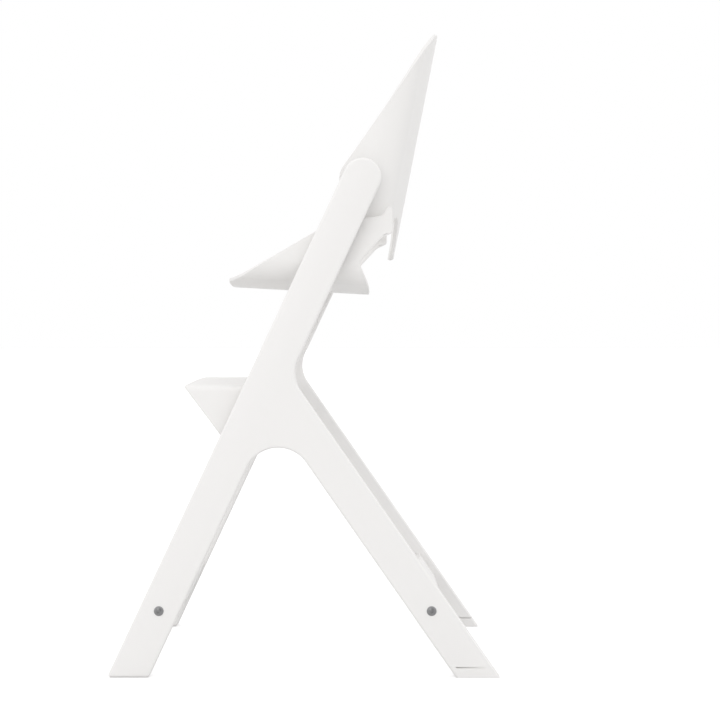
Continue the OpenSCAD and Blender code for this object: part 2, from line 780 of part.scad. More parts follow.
// Footrest: the seat's trough turned over, with a sloping front
module footrest_outline() {
  front_low_y = footrest_front_y + (footrest_side_h - footrest_nose_t) * tan(footrest_front_lean);
  polygon([
    [footrest_front_y, footrest_top + over],
    [footrest_front_y, footrest_top - footrest_nose_t],
    [front_low_y, footrest_low_z],
    [leg_rear_y(footrest_low_z) - footrest_rear_inset, footrest_low_z],
    [leg_rear_y(footrest_top + over) - footrest_rear_inset, footrest_top + over]
  ]);
}

module footrest_bolt_places() {
  for (end = [-1, 1])
    on_front_leg(footrest_carrier_z) translate([0, 0, end * carrier_bolt_pitch / 2]) children();
}

module footrest_shell() {
  trough = 2 * (footrest_reach + front_leg_w);
  color("white") difference() {
    intersection() {
      translate([0, footrest_front_y + trough, footrest_top]) rotate([90, 0, 0])
        linear_extrude(trough + over)
          u_wall(seat_half, footrest_corner_r, footrest_side_from, footrest_wall, footrest_side_h + over);
      side_slab(-seat_half - over, seat_half + over) footrest_outline();
    }
    both() footrest_bolt_places()
      rod(seat_half - footrest_wall - over, seat_half + over, 0, 0, carrier_bolt_r + fit);
  }
}

module footrest_carrier_left() { color("dimgray") on_front_leg(footrest_carrier_z) carrier(); }
module footrest_carrier_right() {
  color("dimgray") mirror([1, 0, 0]) on_front_leg(footrest_carrier_z) carrier();
}
module footrest_slide_nuts() { color("gray") both() on_front_leg(footrest_carrier_z) slide_nut(); }
module footrest_bolts() {
  color("silver") both() on_front_leg(footrest_carrier_z) carrier_bolts(footrest_wall);
}

// Back shell: a swept trough that stands up, cut obliquely along the wings and at the tongue
module back_slab(x0, x1) {
  difference() {
    side_slab(x0, x1) polygon([
      rim_tangent, [rim_tangent[0], back_top_z], [back_y(back_top_z) + over, back_top_z],
      [back_y(tongue_z) + over, tongue_z], [tongue_front_y, tongue_z], tongue_neck,
      pivot + [wing_low_back, -wing_drop], low_tangent, pivot
    ]);
    rod(x0 - over, x1 + over, rim_center[0], rim_center[1], back_rim_r, $fn = 1440);
  }
  rod(x0, x1, pivot_y, pivot_height, wing_r);
}

module back_hub_screw_places() {
  round_pivot(stop_r, back_screw_angles) children();
}

// Its wings have a flat boss under the hub disc, and the tongue flares out into them
module back_shell() {
  depth = 2 * (back_offset + wing_r);
  color("white") difference() {
    intersection() {
      difference() {
        union() {
          back_trough() u_outline(back_half, back_corner_r, back_side_from, depth);
          both() rod(back_half - 3 * back_wall, back_half, pivot_y, pivot_height, hub_r);
        }
        back_trough(over) u_hollow(back_half, back_corner_r, back_side_from, back_wall, depth);
      }
      back_slab(-back_half - over, back_half + over);
      translate([0, -base_length, back_top_z - back_top_r]) rotate([-90, 0, 0])
        cylinder(h = 2 * base_length, r = back_top_r, $fn = 360);
    }
    both() {
      rod(back_half - back_wall - over, back_half + over, pivot_y, pivot_height, bush_r + fit);
      back_hub_screw_places() rod(back_half - back_wall - over, back_half + over, 0, 0, screw_r + fit);
      translate([tongue_half + tongue_flare_r, 0, tongue_z]) rotate([-90, 0, 0])
        cylinder(h = base_length, r = tongue_flare_r);
    }
  }
}

// A section swept up the back, from below the tongue to above the top edge
module back_trough(extra = 0) {
  length = 2 * (back_top + tongue_drop);
  back_frame() translate([0, 0, -length / 2 - extra]) linear_extrude(length + 2 * extra) children();
}

// Frame of reference on the outer face of the back, level with the pivot, with z up the back
module back_frame() {
  translate([0, back_y(pivot_height), pivot_height]) rotate([-back_lean, 0, 0]) children();
}

module back_hub() {
  difference() {
    rod(back_half, hub_gap_x - slack, pivot_y, pivot_height, hub_r);
    rod(back_half - over, inner_x, pivot_y, pivot_height, bush_r + fit);
    round_pivot(stop_r, [stop_rest_angle]) rod(back_half + over, inner_x, 0, 0, stop_pin_r + fit);
    back_hub_screw_places() rod(back_half - over, hub_gap_x - 2 * slack - over, 0, 0, screw_r + fit);
  }
}

module back_hub_left() { color("lightgray") back_hub(); }
module back_hub_right() { color("lightgray") mirror([1, 0, 0]) back_hub(); }

pan_head_t = 2;
pan_head_share = 1.9;
pan_head_r = pan_head_share * screw_r;

module back_hub_screws() {
  color("gray") both() back_hub_screw_places() {
    rod(back_half - back_wall - pan_head_t, back_half - back_wall, 0, 0, pan_head_r);
    rod(back_half - back_wall - over, hub_gap_x - 2 * slack - 2 * over, 0, 0, screw_r);
  }
}

module pivot_bush() {
  difference() {
    rod(back_half - back_wall, hub_gap_x - slack, pivot_y, pivot_height, bush_r);
    rod(back_half - back_wall - over, inner_x, pivot_y, pivot_height, pivot_r + fit);
  }
}

module pivot_bush_left() { color("dimgray") pivot_bush(); }
module pivot_bush_right() { color("dimgray") mirror([1, 0, 0]) pivot_bush(); }

module stop_pins() {
  color("silver") both() round_pivot(stop_r, [stop_rest_angle])
    rod(back_half + over, inner_x - slack, 0, 0, stop_pin_r);
}

side_frame_left();
side_frame_right();
front_crossbar();
rear_crossbar();
crossbar_bolts();
crossbar_nuts();
crossbar_dowels();
track_left();
track_right();
track_screws();
rear_foot_left();
rear_foot_right();
rear_foot_screws();
front_glide_left();
front_glide_right();
hub_plate_left();
hub_plate_right();
hub_plate_screws();
pivot_inserts();
pivot_bolts();
pivot_washers();
seat_shell();
seat_carrier_left();
seat_carrier_right();
seat_slide_nuts();
seat_bolts();
footrest_shell();
footrest_carrier_left();
footrest_carrier_right();
footrest_slide_nuts();
footrest_bolts();
back_shell();
back_hub_left();
back_hub_right();
back_hub_screws();
pivot_bush_left();
pivot_bush_right();
stop_pins();
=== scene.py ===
# Looks of a white high chair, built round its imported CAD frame. Sizes in millimetres, meshes in metres.
import json
import math

import bmesh
import bpy
import numpy as np

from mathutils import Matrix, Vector


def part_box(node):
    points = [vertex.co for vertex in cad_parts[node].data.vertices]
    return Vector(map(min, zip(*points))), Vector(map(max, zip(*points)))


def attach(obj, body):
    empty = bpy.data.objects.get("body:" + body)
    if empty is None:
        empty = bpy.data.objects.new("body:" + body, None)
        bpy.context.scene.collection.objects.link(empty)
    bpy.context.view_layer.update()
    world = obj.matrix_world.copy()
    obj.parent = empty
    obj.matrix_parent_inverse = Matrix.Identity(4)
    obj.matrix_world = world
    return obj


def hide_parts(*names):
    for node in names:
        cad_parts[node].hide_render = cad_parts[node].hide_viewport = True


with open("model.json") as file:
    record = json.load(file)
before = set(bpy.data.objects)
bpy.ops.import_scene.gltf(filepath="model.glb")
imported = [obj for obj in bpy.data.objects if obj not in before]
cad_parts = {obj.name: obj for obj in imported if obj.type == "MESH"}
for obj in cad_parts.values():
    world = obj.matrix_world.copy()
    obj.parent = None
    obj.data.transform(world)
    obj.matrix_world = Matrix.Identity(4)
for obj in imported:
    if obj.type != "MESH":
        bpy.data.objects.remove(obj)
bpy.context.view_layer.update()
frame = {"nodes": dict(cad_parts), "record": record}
mm = 0.001
print("stage: frame loaded with", len(frame["nodes"]), "nodes")


# The photo is a level side view from the sitter's left
camera = {"place": (2930, 63, 535.5), "lens": 89.92, "sensor": 36, "shift": (0.0194, -0.0556),
          "clip": (0.05, 100)}


def addCamera():
    data = bpy.data.cameras.new("sideCamera")
    data.lens = camera["lens"]
    data.sensor_width = camera["sensor"]
    data.shift_x, data.shift_y = camera["shift"]
    data.clip_start, data.clip_end = camera["clip"]
    obj = bpy.data.objects.new("sideCamera", data)
    obj.location = [v * mm for v in camera["place"]]
    obj.rotation_euler = (math.radians(90), 0, math.radians(90))
    bpy.context.scene.collection.objects.link(obj)
    bpy.context.scene.camera = obj


addCamera()
print("stage: camera")


# Points in millimetres and faces as rows of indices become an object, with point masks as attributes
def addMesh(name, points, faces, masks=None):
    mesh = bpy.data.meshes.new(name)
    mesh.from_pydata((np.asarray(points) * mm).tolist(), [], [list(f) for f in faces])
    for key, values in (masks or {}).items():
        mesh.attributes.new(key, "FLOAT", "POINT").data.foreach_set("value", np.asarray(values, np.float32))
    mesh.update()
    obj = bpy.data.objects.new(name, mesh)
    bpy.context.scene.collection.objects.link(obj)
    return obj


# Distances under which points are one and edges are nothing
weld = {"doubles": 0.004, "thin": 0.002}


# Welds doubled points, points every face outwards and keeps edges sharp above an angle
def closeMesh(obj, sharpAngle=180):
    work = bmesh.new()
    work.from_mesh(obj.data)
    bmesh.ops.remove_doubles(work, verts=work.verts, dist=weld["doubles"] * mm)
    bmesh.ops.dissolve_degenerate(work, edges=work.edges, dist=weld["thin"] * mm)
    bmesh.ops.recalc_face_normals(work, faces=work.faces)
    work.to_mesh(obj.data)
    work.free()
    obj.data.shade_smooth()
    if sharpAngle < 180:
        obj.data.set_sharp_from_angle(angle=math.radians(sharpAngle))
    return obj


# Quads of a grid whose columns close on themselves: (i, j), (i, j+1), (i+1, j+1), (i+1, j)
def ringFaces(rows, columns):
    i, j = np.meshgrid(np.arange(rows - 1), np.arange(columns), indexing="ij")
    k = (j + 1) % columns
    corners = [i * columns + j, i * columns + k, (i + 1) * columns + k, (i + 1) * columns + j]
    return np.stack(corners, -1).reshape(-1, 4)


# The unit vector (cos a, sin a)
def turned(degrees):
    return np.array([math.cos(math.radians(degrees)), math.sin(math.radians(degrees))])


# Center + r (cos a, sin a) for a from start to end, in degrees
def arcPoints(center, r, start, end, steps):
    a = np.radians(np.linspace(start, end, steps + 1))
    return np.asarray(center) + r * np.stack([np.cos(a), np.sin(a)], -1)


finePerStep = 8


# A closed line at equal steps along its length, its corners rounded by a Gaussian that runs round the loop
def evenLoop(points, count, soften=0.0):
    p = np.vstack([points, points[:1]])
    length = np.r_[0, np.cumsum(np.linalg.norm(np.diff(p, axis=0), axis=1))]
    fine = np.linspace(0, length[-1], finePerStep * count, endpoint=False)
    loop = np.stack([np.interp(fine, length, p[:, k]) for k in (0, 1)], -1)
    if soften:
        step = length[-1] / len(loop)
        wave = np.fft.fftfreq(len(loop), step)
        blur = np.exp(-2 * (np.pi * wave * soften) ** 2)
        loop = np.fft.ifft(np.fft.fft(loop, axis=0) * blur[:, None], axis=0).real
    return loop[::finePerStep]


# Unit vectors square to a closed line, pointing out of it
def outwardOf(loop):
    along = np.roll(loop, -1, axis=0) - np.roll(loop, 1, axis=0)
    out = np.stack([along[:, 1], -along[:, 0]], -1)
    out /= np.linalg.norm(out, axis=1, keepdims=True) + 1e-12
    nextPoint = np.roll(loop, -1, axis=0)
    area = 0.5 * np.sum(loop[:, 0] * nextPoint[:, 1] - nextPoint[:, 0] * loop[:, 1])
    return out if area > 0 else -out


# How far a section's table of arc lengths runs past its corner, and its places
sectionTable = {"past": 600, "places": 6000}


# Mid-line of a U: a crown arc, a corner arc and a straight side. For an arc length s from the middle the
# turn is a = s/R on the crown and a = a1 + (s - s1)/r in the corner, up to 90 degrees, and
# x = R sin a, depth = crown - R cos a there, then cx + r sin a, dc - r cos a, and depth grows by s - s2.
class Section:
    def __init__(self, half, corner, sideFrom, wall):
        self.cx, self.dc = half - corner, sideFrom
        self.crown = (self.cx ** 2 + sideFrom ** 2 - corner ** 2) / 2 / (sideFrom - corner)
        self.bigR, self.smallR = self.crown - wall / 2, corner - wall / 2
        self.turn = math.asin(self.cx / (self.crown - corner))
        self.s1 = self.bigR * self.turn
        self.s2 = self.s1 + self.smallR * (math.pi / 2 - self.turn)
        self.table = np.linspace(0, self.s2 + sectionTable["past"], sectionTable["places"])

    # x, depth and turn of the mid-line at a signed arc length
    def at(self, s):
        size = np.abs(s)
        a = np.where(size < self.s1, size / self.bigR,
                     np.minimum(self.turn + (size - self.s1) / self.smallR, math.pi / 2))
        onCrown = size < self.s1
        x = np.where(onCrown, self.bigR * np.sin(a), self.cx + self.smallR * np.sin(a))
        depth = np.where(onCrown, self.crown - self.bigR * np.cos(a), self.dc - self.smallR * np.cos(a))
        return np.sign(s) * x, depth + np.maximum(size - self.s2, 0), a

    # arc length of a place at a depth under the crown
    def fromDepth(self, depth):
        return np.interp(depth, self.at(self.table)[1], self.table)

    # arc length of a place at a distance x from the middle, up to where the side begins
    def fromX(self, x):
        s = self.table[self.table <= self.s2]
        return np.interp(x, self.at(s)[0], s)


shellGrid = {"columns": 440, "rings": 40, "beadRows": 13, "beadPower": 0.42}


# A closed shell as one grid. Rows run from the spine out to the rim on the inner face, round the rim's
# bead and back on the outer face; columns run round the outline. A row at share f of the way is
# spine + f (rim - spine) at a lift of half the wall. The bead is nearly square, with small round edges:
# rim + w/2 (c out, s lift), where c = cos b and s = sin b keep their signs and are raised to a power below 1.
# The spine is the curve s = reach t, v = v0 + (v1 - v0) t^power, where t grows with the rim's own s up to 1.
def shellPoints(section, shell, halfLoop, place):
    wall, count, rings = shell["wall"], shellGrid["columns"], shellGrid["rings"]
    other = halfLoop[::-1] * [-1, 1]
    loop = evenLoop(np.vstack([halfLoop, other]), count, shell["soften"])
    out = outwardOf(loop)
    rim = loop - out * wall / 2
    reach, fullAt, v0, v1, power = (shell["spine"][k] for k in ("reach", "fullAt", "v0", "v1", "power"))
    t = np.clip(rim[:, 0] / (fullAt or np.abs(rim[:, 0]).max()), -1, 1)
    middle = np.stack([t * reach, v0 + (v1 - v0) * np.abs(t) ** power], -1)
    f = np.linspace(0, 1, rings)
    face = middle[None] + f[:, None, None] * (rim - middle)[None]
    b = np.radians(np.linspace(-90, 90, shellGrid["beadRows"] + 2))[1:-1]
    square = shellGrid["beadPower"]
    bead = rim[None] + wall / 2 * (np.cos(b) ** square)[:, None, None] * out[None]
    flat = np.concatenate([face, bead, face[::-1]])
    lift = np.r_[np.full(rings, -wall / 2), wall / 2 * np.sign(b) * np.abs(np.sin(b)) ** square,
                 np.full(rings, wall / 2)]
    lift = np.repeat(lift[:, None], count, 1)
    edge = np.r_[np.zeros(rings), np.ones(len(b)), np.zeros(rings)]
    x, depth, a = section.at(flat[..., 0])
    side = np.where(flat[..., 0] < 0, -1.0, 1.0)
    x = x + side * lift * np.sin(a)
    depth = depth - lift * np.cos(a)
    points = place(x, depth, flat[..., 1])
    return points.reshape(-1, 3), ringFaces(len(flat), count), np.repeat(edge, count)


# (x, depth, v) goes to x across the chair and origin + v along + depth inward in the side plane
def planePlace(origin, along, inward):
    along, inward = np.asarray(along), np.asarray(inward)

    def place(x, depth, v):
        return np.stack([x, origin[0] + v * along[0] + depth * inward[0],
                         origin[1] + v * along[1] + depth * inward[1]], -1)
    return place


# Side plane points as (depth, v) in a shell's own frame
def sideToSheet(points, origin, along, inward):
    gap = np.asarray(points, float) - origin
    return np.stack([gap @ inward, gap @ along], -1)


# An open line cut into steps of about one length
def densify(points, step=2.0):
    p = np.asarray(points, float)
    length = np.r_[0, np.cumsum(np.linalg.norm(np.diff(p, axis=0), axis=1))]
    t = np.linspace(0, length[-1], max(int(length[-1] / step), 2))
    return np.stack([np.interp(t, length, p[:, k]) for k in (0, 1)], -1)


# The same places as in the CAD source: the front leg's middle line, the pivot and the shells' outlines
leg = {"lean": 25.1, "width": 57, "rearLean": 34.9, "rearWidth": 54.5, "base": 588, "glide": 3,
       "rearBlock": 16.5, "pivotZ": 750, "crotch": 50, "arch": 51, "inner": 210, "outer": 240, "edge": 4,
       "edgeRows": 7, "pivotSteps": 72, "crotchSteps": 24, "archSteps": 48, "onFoot": 0.01, "sharp": 35}
cosLean, tanLean = math.cos(math.radians(leg["lean"])), math.tan(math.radians(leg["lean"]))
cosRear, tanRear = math.cos(math.radians(leg["rearLean"])), math.tan(math.radians(leg["rearLean"]))
footY = -leg["base"] / 2 + leg["width"] / 2 / cosLean
rearFootY = leg["base"] / 2 - leg["rearWidth"] / 2 / cosRear


# The front leg's middle line: foot + (z - glide) tan(lean)
def legY(z):
    return footY + (z - leg["glide"]) * tanLean


pivot = np.array([legY(leg["pivotZ"]), leg["pivotZ"]])
gaps = {"side": 2.5, "wing": 3}  # between seat and board, and between wing and seat
seatHalf = leg["inner"] - gaps["side"]

back = {"lean": 11.2, "offset": 74, "top": 247, "topR": 350, "rimLean": 36.1, "rimR": 3000, "wing": 35,
        "tongueDrop": 115.5, "tongueDepth": 9.5, "tongueHeight": 52, "tongueHalf": 60, "flareR": 60,
        "wingDrop": 80, "wingLowBack": 12, "wall": 6, "corner": 48, "sideFrom": 64.15, "rimLength": 300,
        "steps": {"rim": 300, "top": 500, "round": 60, "neck": 200, "flare": 40, "end": 60},
        "spine": {"reach": 150, "fullAt": None, "v0": 70, "v1": 60, "power": 2}, "soften": 3.0}
nowhere = -1e3  # far under the chair, where a line has no place


# The outline on the sheet: across the top the lower of an arch, z = top - (R - sqrt(R^2 - x^2)), and the
# wings' bowed front edge; then the round at the pivot, the lowest place, the flare and the level end of
# the tongue.
def backShell():
    b, steps = back, back["steps"]
    lean = math.radians(b["lean"])
    along = np.array([math.sin(lean), math.cos(lean)])
    inward = np.array([-math.cos(lean), math.sin(lean)])
    origin = pivot + [b["offset"] / math.cos(lean), 0]
    section = Section(seatHalf - seat["wall"] - gaps["wing"], b["corner"], b["sideFrom"], b["wall"])
    topZ, tongueZ = pivot[1] + b["top"], pivot[1] - b["tongueDrop"]

    def atHeight(s, z):
        return (z - origin[1] - section.at(s)[1] * inward[1]) / along[1]

    def toSheet(points):
        sheet = sideToSheet(points, origin, along, inward)
        return np.stack([section.fromDepth(np.maximum(sheet[:, 0], b["wall"] / 2)), sheet[:, 1]], -1)

    rimAngle = 180 - b["rimLean"]
    rimCenter = pivot + (b["wing"] + b["rimR"]) * turned(rimAngle)
    sweep = math.degrees(b["rimLength"] / b["rimR"])
    rim = toSheet(arcPoints(rimCenter, b["rimR"], rimAngle - 180, rimAngle - 180 + sweep, steps["rim"]))
    s = np.linspace(0, rim[0, 0], steps["top"])
    x = section.at(s)[0]
    arch = atHeight(s, topZ - b["topR"] + np.sqrt(b["topR"] ** 2 - x ** 2))
    top = np.stack([s, np.minimum(arch, np.interp(s, rim[::-1, 0], rim[::-1, 1]))], -1)

    low = np.array([b["wingLowBack"], -b["wingDrop"]])
    lowAngle = math.degrees(math.atan2(low[1], low[0]) - math.acos(b["wing"] / np.linalg.norm(low)))
    pivotArc = arcPoints(pivot, b["wing"], rimAngle, 360 + lowAngle, steps["round"])
    roundPart = toSheet(np.vstack([pivotArc, densify([pivot + b["wing"] * turned(lowAngle), pivot + low])]))
    frontY = origin[0] + (tongueZ - pivot[1]) * math.tan(lean) - b["tongueDepth"] / math.cos(lean)
    neck = np.array([frontY + b["tongueHeight"] * math.tan(lean), tongueZ + b["tongueHeight"]])
    neckLine = toSheet(densify([pivot + low, neck]))
    flareX = b["tongueHalf"] + b["flareR"]
    s = np.linspace(neckLine[0, 0], section.fromX(flareX), steps["neck"])
    gap = np.maximum(b["flareR"] ** 2 - (section.at(s)[0] - flareX) ** 2, 0)
    flareTop = np.where(gap > 0, atHeight(s, tongueZ + np.sqrt(gap)), nowhere)
    lower = np.stack([s, np.maximum(np.interp(s, neckLine[::-1, 0], neckLine[::-1, 1]), flareTop)], -1)
    flare = arcPoints([flareX, tongueZ], b["flareR"], 90, 180, steps["flare"])
    flareS = section.fromX(flare[:, 0])
    s = np.linspace(flareS[-1], 0, steps["end"])
    halfLoop = np.vstack([top, roundPart, lower, np.stack([flareS, atHeight(flareS, flare[:, 1])], -1),
                          np.stack([s, atHeight(s, tongueZ)], -1)])
    points, faces, edge = shellPoints(section, b, halfLoop, planePlace(origin, along, inward))
    return closeMesh(addMesh("backShell", points, faces, {"edge": edge}))


seat = {"height": 589, "reach": 131.5, "fall": 3.2, "wall": 6, "side": 105, "slope": 30.2, "rearSlope": 7,
        "sweep": 76, "lead": 10, "lip": 2, "frontR": 60, "corner": 38, "sideFrom": 48, "earBack": 122,
        "earWidth": 8.5, "earHeight": 14, "earRamp": 7, "earLow": 78.5, "ledge": 17, "ledgeFall": 7.5,
        "earR": 5, "waistBack": 72, "waist": 36, "waistRun": 5, "rearBack": 90,
        "steps": {"sweep": 60, "front": 700, "ear": 8},
        "spine": {"reach": 262, "fullAt": 262, "v0": 110, "v1": 228, "power": 4}, "soften": 2.2}


# The outline on the sheet: on the floor a plan arc, R - sqrt(R^2 - past^2), up the sides whichever is further
# back, that arc or the sweep, whose circle hands over to the sloping rim; then the ear, its ledge, the waist
# and the floor's rear edge.
def seatShell():
    c = seat
    fall = math.radians(c["fall"])
    along = np.array([math.cos(fall), -math.sin(fall)])
    inward = np.array([math.sin(fall), math.cos(fall)])
    seatY = legY(c["height"])
    nose = seatY - c["reach"]
    origin = np.array([nose, c["height"]])
    section = Section(seatHalf, c["corner"], c["sideFrom"], c["wall"])
    rimZ, slope, rearSlope = c["height"] + c["side"], np.radians(c["slope"]), np.radians(c["rearSlope"])
    center = np.array([nose - c["lead"], c["height"] + c["wall"] + c["lip"] + c["sweep"]])
    end = center + c["sweep"] * np.array([math.sin(slope), -math.cos(slope)])
    earY, rearY, waistY = (seatY + c[k] for k in ("earBack", "rearBack", "waistBack"))
    foot = np.array([earY - c["earWidth"] - c["earRamp"], rimZ])
    rise = foot[1] - end[1] - (foot[0] - end[0]) * math.tan(rearSlope)
    run = rise / (math.tan(slope) - math.tan(rearSlope))
    bend = end + run * np.array([1, math.tan(slope)])
    sweep = arcPoints(center, c["sweep"], -90, c["slope"] - 90, c["steps"]["sweep"])
    cut = sideToSheet(np.vstack([sweep[:-1], densify([end, bend])]), origin, along, inward)
    s = np.linspace(0, section.fromDepth(cut[-1, 0]), c["steps"]["front"])
    x, depth, turn = section.at(s)
    past = np.maximum(x - seatHalf + c["frontR"], 0)
    plan = c["frontR"] - np.sqrt(np.maximum(c["frontR"] ** 2 - past ** 2, 0))
    front = np.where(depth > cut[0, 0], np.maximum(plan, np.interp(depth, cut[:, 0], cut[:, 1])), plan)
    earTop, earLow, waistZ = rimZ + c["earHeight"], c["height"] + c["earLow"], c["height"] + c["waist"]
    rest = sideToSheet(np.vstack([
        densify([bend, foot, [earY - c["earWidth"], earTop], [earY - c["earR"], earTop]]),
        arcPoints([earY - c["earR"], earTop - c["earR"]], c["earR"], 90, 0, c["steps"]["ear"]),
        densify([[earY, earLow], [earY - c["ledge"], earLow - c["ledgeFall"]],
                 [waistY + c["waistRun"], waistZ + c["waistRun"]], [waistY, waistZ - c["waistRun"]],
                 [rearY, c["height"] - 2 * c["wall"]]]),
    ]), origin, along, inward)
    rest = rest[rest[:, 0] > c["wall"] / 2]
    halfLoop = np.vstack([np.stack([s, front], -1), np.stack([section.fromDepth(rest[:, 0]), rest[:, 1]], -1),
                          [[0, rest[-1, 1]]]])
    points, faces, edge = shellPoints(section, c, halfLoop, planePlace(origin, along, inward))
    return closeMesh(addMesh("seatShell", points, faces, {"edge": edge}))


footrest = {"top": 437.6, "reach": 91.5, "frontLean": 36.9, "side": 93, "wall": 5, "corner": 6,
            "sideFrom": 7.2, "nose": 4, "rearInset": 4, "step": 1.0,
            "spine": {"reach": 160, "fullAt": None, "v0": 75, "v1": 85, "power": 2}, "soften": 1.6}


# The outline in the side plane: a level top, a short upright nose, a front that leans back by tan(lean) a
# millimetre, a level low end, and a rear edge that runs up along the leg's rear face
def footrestShell():
    c = footrest
    along, inward = np.array([1.0, 0.0]), np.array([0.0, -1.0])
    legFront = legY(c["top"]) - leg["width"] / 2 / cosLean
    frontY, lowZ = legFront - c["reach"], c["top"] - c["side"]
    origin = np.array([frontY, c["top"]])
    section = Section(seatHalf, c["corner"], c["sideFrom"], c["wall"])
    frontLow = frontY + (c["side"] - c["nose"]) * math.tan(math.radians(c["frontLean"]))
    rearEdge = [legY(z) + leg["width"] / 2 / cosLean - c["rearInset"] for z in (c["top"], lowZ)]
    outline = densify([[frontY, c["top"]], [frontY, c["top"] - c["nose"]], [frontLow, lowZ],
                       [rearEdge[1], lowZ], [rearEdge[0], c["top"]]], c["step"])
    sheet = sideToSheet(outline, origin, along, inward)
    halfLoop = np.stack([section.fromDepth(np.maximum(sheet[:, 0], c["wall"] / 2)), sheet[:, 1]], -1)
    points, faces, edge = shellPoints(section, c, halfLoop, planePlace(origin, along, inward))
    return closeMesh(addMesh("footrestShell", points, faces, {"edge": edge}))


track = {"width": 16, "depth": 9, "over": 1, "sharp": 30}


# Centre of an arc of radius r that rounds the corner between two directions
def blendCenter(corner, dirA, dirB, r):
    both = dirA + dirB
    half = math.acos(float(dirA @ dirB)) / 2
    return corner + both / np.linalg.norm(both) * r / math.sin(half)


# The board in the side plane: the half round at the pivot, the blend behind the leg, both ends of the rear
# leg, the arch and both ends of the front leg. Straight edges run between them.
def boardOutline():
    up = np.array([math.sin(math.radians(leg["lean"])), cosLean])
    down = np.array([math.sin(math.radians(leg["rearLean"])), -cosRear])
    half, rearHalf = leg["width"] / 2, leg["rearWidth"] / 2 / cosRear
    legRear = footY + half / cosLean - leg["glide"] * tanLean
    corners = []
    for side in (1, -1):
        z = (rearFootY + side * rearHalf - legRear) / (tanLean + tanRear)
        corners.append(np.array([legRear + z * tanLean, z]))
    frontSide, rearSide = 180 - leg["lean"], leg["rearLean"]
    crotch = blendCenter(corners[0], up, down, leg["crotch"])
    arch = blendCenter(corners[1], -up, down, leg["arch"])
    rearY = rearFootY - leg["rearBlock"] * tanRear
    frontEdge = half / cosLean
    return np.vstack([
        arcPoints(pivot, half, frontSide, frontSide - 180, leg["pivotSteps"]),
        arcPoints(crotch, leg["crotch"], frontSide, rearSide + 180, leg["crotchSteps"]),
        [[rearY + rearHalf, leg["rearBlock"]], [rearY - rearHalf, leg["rearBlock"]]],
        arcPoints(arch, leg["arch"], rearSide, frontSide, leg["archSteps"]),
        [[footY + frontEdge, leg["glide"]], [footY - frontEdge, leg["glide"]]],
    ])


# The outline carried round the board's edge: flat face, quarter round, edge, quarter round, flat face. At a
# turn b of a quarter round the outline is drawn in by r (1 - sin b), at a depth of r (1 - cos b).
def sideFrame(name, side):
    loop = boardOutline()
    nextOut = outwardOf(loop)
    r = leg["edge"]
    b = np.radians(np.linspace(0, 90, leg["edgeRows"]))
    insetRow = r * (1 - np.sin(b))
    depthRow = r * (1 - np.cos(b))
    inset = np.r_[insetRow, insetRow[::-1]]
    x = np.r_[leg["inner"] + depthRow, leg["outer"] - depthRow[::-1]]
    rings = loop[None] - inset[:, None, None] * nextOut[None]
    # the ends on the feet stay flat: no ring goes below the board's own foot
    low = np.where(loop[:, 0] > 0, leg["rearBlock"], leg["glide"])
    onFoot = np.abs(loop[:, 1] - low) < leg["onFoot"]
    rings[:, onFoot, 1] = low[onFoot]
    rings[:, onFoot, 0] = loop[onFoot, 0] + footSlide(loop[onFoot], inset)
    points = np.concatenate([np.repeat(x[:, None, None], len(loop), 1), rings], -1)
    faces = [list(f) for f in ringFaces(len(x), len(loop))]
    n, m = len(x), len(loop)
    faces += [list(range(m))[::-1], list(range((n - 1) * m, n * m))]
    points = points.reshape(-1, 3)
    points[:, 0] *= side
    obj = closeMesh(addMesh(name, points, faces), leg["sharp"])
    cutGroove(obj, side)
    return obj


# How far an end point on a foot moves along the floor for each ring's inset, towards the leg's middle
def footSlide(ends, inset):
    rear = ends[:, 0] > 0
    middleY = np.where(rear, rearFootY - leg["rearBlock"] * tanRear, footY)
    return np.sign(middleY - ends[:, 0]) * inset[:, None] / np.where(rear, cosRear, cosLean)


# Takes the track's groove out of a board and keeps the result as its mesh
def cutGroove(obj, side):
    t = track
    half = np.array([t["depth"] / 2 + t["over"], t["width"] / 2, t["length"] / 2])
    corners = np.array([[i, j, k] for i in (-1, 1) for j in (-1, 1) for k in (-1, 1)]) * half
    lean = math.radians(leg["lean"])
    y = corners[:, 1] * math.cos(lean) + corners[:, 2] * math.sin(lean)
    z = -corners[:, 1] * math.sin(lean) + corners[:, 2] * math.cos(lean)
    x = corners[:, 0] + leg["inner"] + t["depth"] / 2 - t["over"]
    points = np.stack([side * x, y + legY(t["middle"]), z + t["middle"]], -1)
    faces = [[0, 1, 3, 2], [4, 6, 7, 5], [0, 4, 5, 1], [2, 3, 7, 6], [0, 2, 6, 4], [1, 5, 7, 3]]
    cutter = closeMesh(addMesh("grooveCutter", points, faces), t["sharp"])
    cut = obj.modifiers.new("groove", "BOOLEAN")
    cut.operation, cut.solver, cut.object = "DIFFERENCE", "EXACT", cutter
    bpy.context.view_layer.update()
    made = bpy.data.meshes.new_from_object(obj.evaluated_get(bpy.context.evaluated_depsgraph_get()))
    obj.modifiers.clear()
    obj.data = made
    bpy.data.objects.remove(cutter)
    obj.data.set_sharp_from_angle(angle=math.radians(leg["sharp"]))


slitStrip = {"length": 42, "height": 2, "land": 11.5, "deep": 4.5, "shallow": 0.5, "inside": 3.2,
             "insideEnd": 6, "fade": 2.5, "gap": 0.05, "rows": 24, "sharp": 30}


